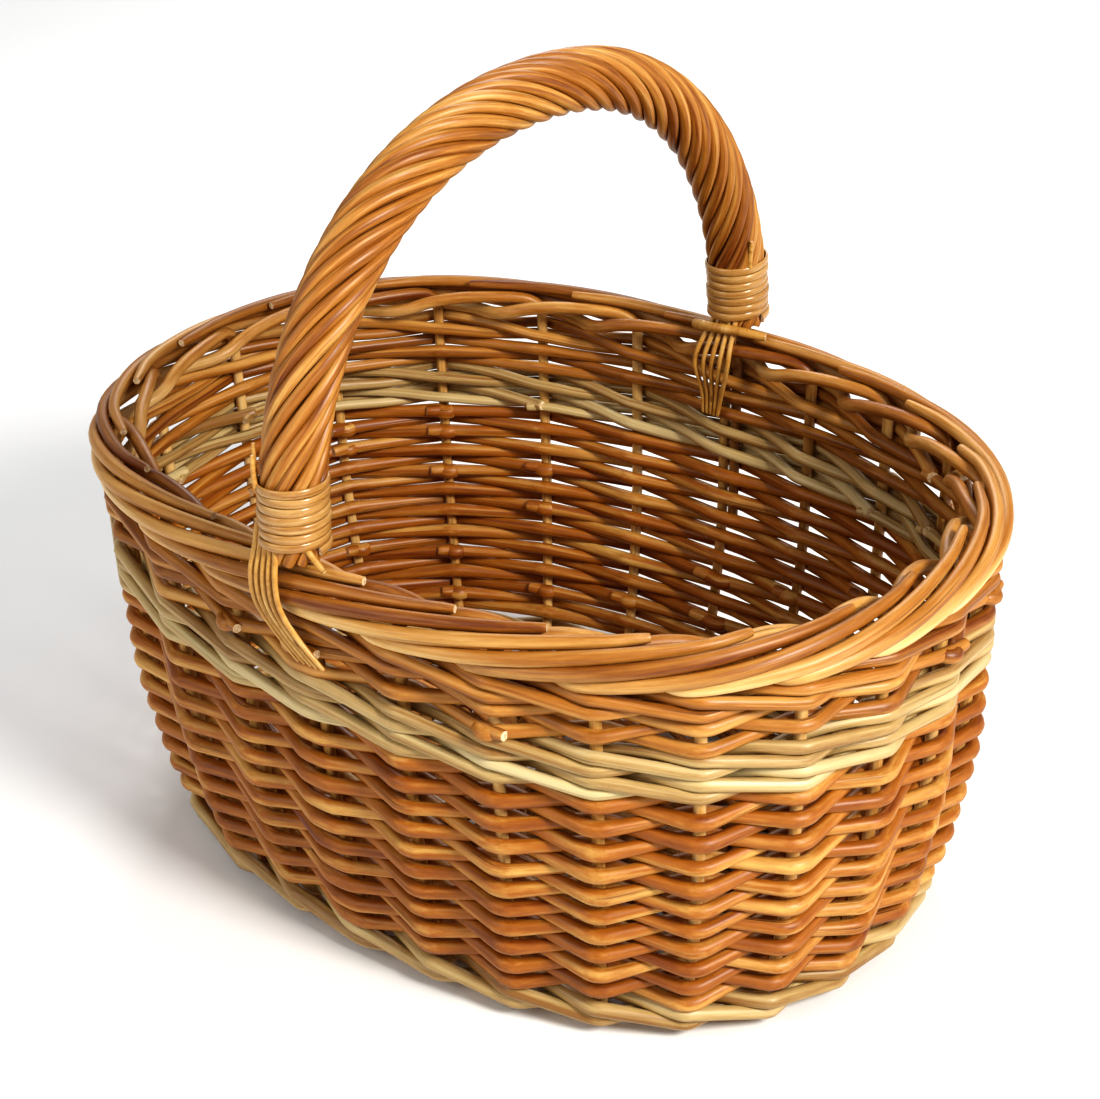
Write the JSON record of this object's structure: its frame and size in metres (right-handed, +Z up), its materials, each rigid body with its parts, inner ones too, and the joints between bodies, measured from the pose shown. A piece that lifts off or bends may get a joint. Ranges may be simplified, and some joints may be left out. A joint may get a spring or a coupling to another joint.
{
  "type": "egg collection basket",
  "caption": "Oval woven willow basket with flaring sides, a rolled rod border, pale wale bands, and a high roped bow handle bound with cane at both feet.",
  "frame": {"origin": "on the floor, under the middle of the basket", "axes": "+X along the oval's long axis, +Y along its short axis towards the handle's far foot, +Z up"},
  "size_m": [0.4192, 0.3081, 0.3579],
  "materials": {
    "stake_willow": "satin",
    "brown_willow": "satin",
    "tan_willow": "satin",
    "white_willow": "satin",
    "stick_willow": "matte",
    "base_willow": "matte",
    "handle_willow": "matte",
    "roping_willow": "satin",
    "cane": "gloss"
  },
  "bodies": {
    "root": {"base_long_sticks": "stick_willow", "base_short_sticks": "stick_willow", "base_weave_outer": "base_willow", "base_weave_inner": "base_willow", "base_edge_rod_1": "brown_willow", "base_edge_rod_2": "brown_willow", "side_stakes": "stake_willow", "upsett_wale_rod_1": "white_willow", "upsett_wale_rod_2": "white_willow", "upsett_wale_rod_3": "white_willow", "lower_siding_row_01": "brown_willow", "lower_siding_row_02": "brown_willow", "lower_siding_row_03": "brown_willow", "lower_siding_row_04": "brown_willow", "lower_siding_row_05": "brown_willow", "lower_siding_row_06": "brown_willow", "lower_siding_row_07": "brown_willow", "lower_siding_row_08": "brown_willow", "lower_siding_row_09": "brown_willow", "lower_siding_row_10": "brown_willow", "lower_siding_row_11": "brown_willow", "lower_siding_row_12": "brown_willow", "lower_siding_row_13": "brown_willow", "lower_siding_row_14": "brown_willow", "lower_siding_row_15": "brown_willow", "lower_siding_row_16": "brown_willow", "lower_siding_row_17": "brown_willow", "lower_siding_row_18": "brown_willow", "lower_siding_row_19": "brown_willow", "lower_siding_row_20": "brown_willow", "white_wale_1_rod_1": "white_willow", "white_wale_1_rod_2": "white_willow", "white_wale_1_rod_3": "white_willow", "white_wale_2_rod_1": "white_willow", "white_wale_2_rod_2": "white_willow", "white_wale_2_rod_3": "white_willow", "upper_siding_row_1": "tan_willow", "upper_siding_row_2": "tan_willow", "upper_siding_row_3": "tan_willow", "top_wale_rod_1": "tan_willow", "top_wale_rod_2": "tan_willow", "top_wale_rod_3": "tan_willow", "handle_bow": "handle_willow", "handle_roping": "roping_willow", "near_binding": "cane", "far_binding": "cane", "near_roping_tails": "roping_willow", "far_roping_tails": "roping_willow"}
  },
  "joints": []
}
